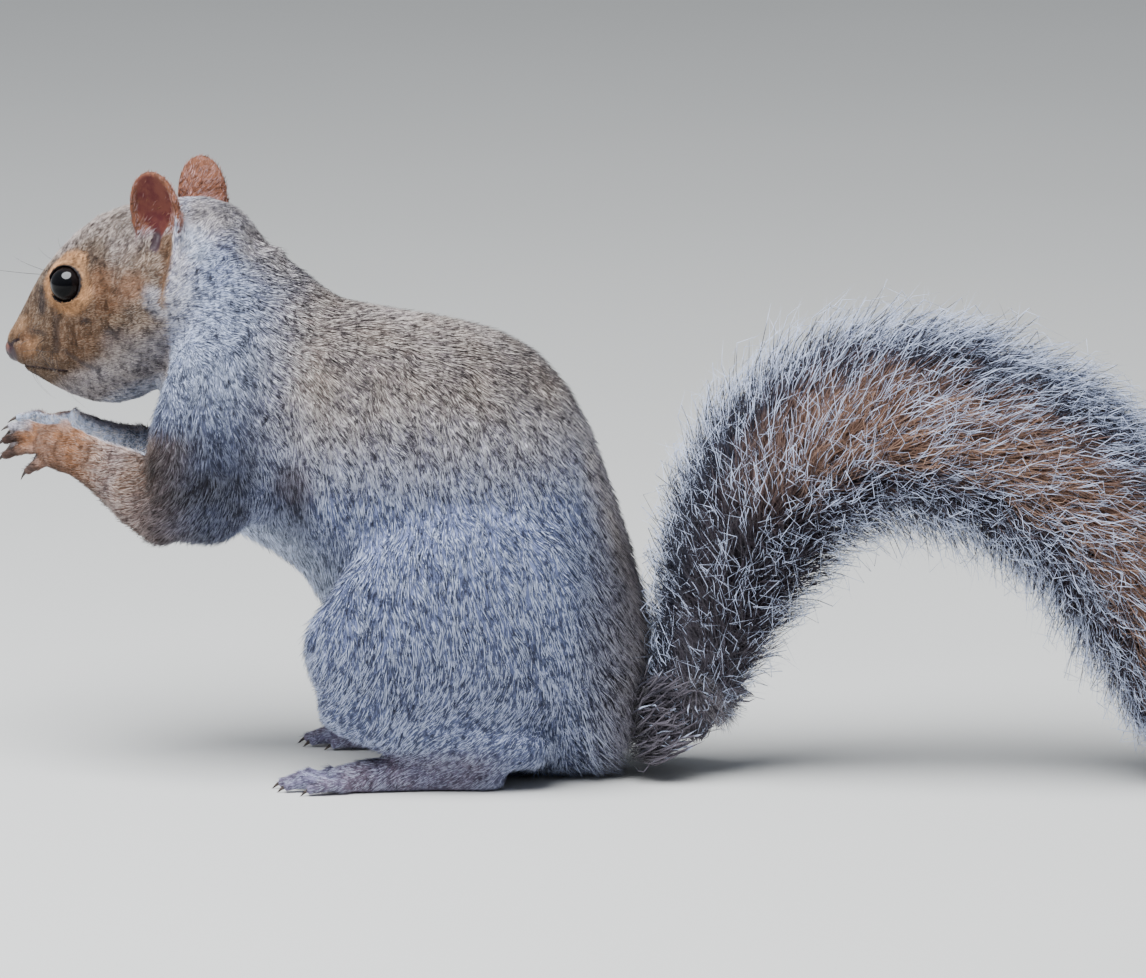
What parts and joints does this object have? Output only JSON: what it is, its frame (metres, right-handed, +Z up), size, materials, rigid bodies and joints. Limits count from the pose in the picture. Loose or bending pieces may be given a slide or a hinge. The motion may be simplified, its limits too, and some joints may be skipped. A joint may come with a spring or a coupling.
{
  "type": "squirrel",
  "caption": "Still life-size model of an eastern grey squirrel sitting up on its haunches, hands raised to its chin, bushy tail arched out behind.",
  "frame": {"origin": "on the floor plane, under the middle of the whole squirrel's bounding box", "axes": "+Z up; the body faces -Y and the tail trails towards +Y; the squirrel's left side is towards +X, and its head is turned a little to its right"},
  "size_m": [0.0916, 0.3484, 0.17],
  "materials": {
    "body_fur": "short banded guard hairs, grizzled grey and tan, matt with a faint sheen",
    "tail_fur": "long banded hairs, brown core, black band, white tips",
    "paw_fur": "very short rust and cream hair over bare pink digits",
    "ear_skin": "thin skin, bare and reddish inside, fine short hair outside",
    "nose_skin": "dark moist bare skin",
    "eye": "wet black, high gloss",
    "claw": "near-black horn, semi-gloss",
    "whisker": "fine stiff black hair"
  },
  "bodies": {
    "root": {"head": "body_fur", "nose": "nose_skin", "neck": "body_fur", "trunk": "body_fur", "eye_left": "eye", "eye_right": "eye", "ear_left": "ear_skin", "ear_right": "ear_skin", "upper_arm_left": "body_fur", "upper_arm_right": "body_fur", "forearm_left": "body_fur", "forearm_right": "body_fur", "hand_left": "paw_fur", "hand_right": "paw_fur", "thigh_left": "body_fur", "thigh_right": "body_fur", "shank_left": "body_fur", "shank_right": "body_fur", "foot_left": "paw_fur", "foot_right": "paw_fur", "tail_root": "tail_fur", "tail_rise": "tail_fur", "tail_fall": "tail_fur", "tail_tip": "tail_fur"}
  },
  "joints": []
}
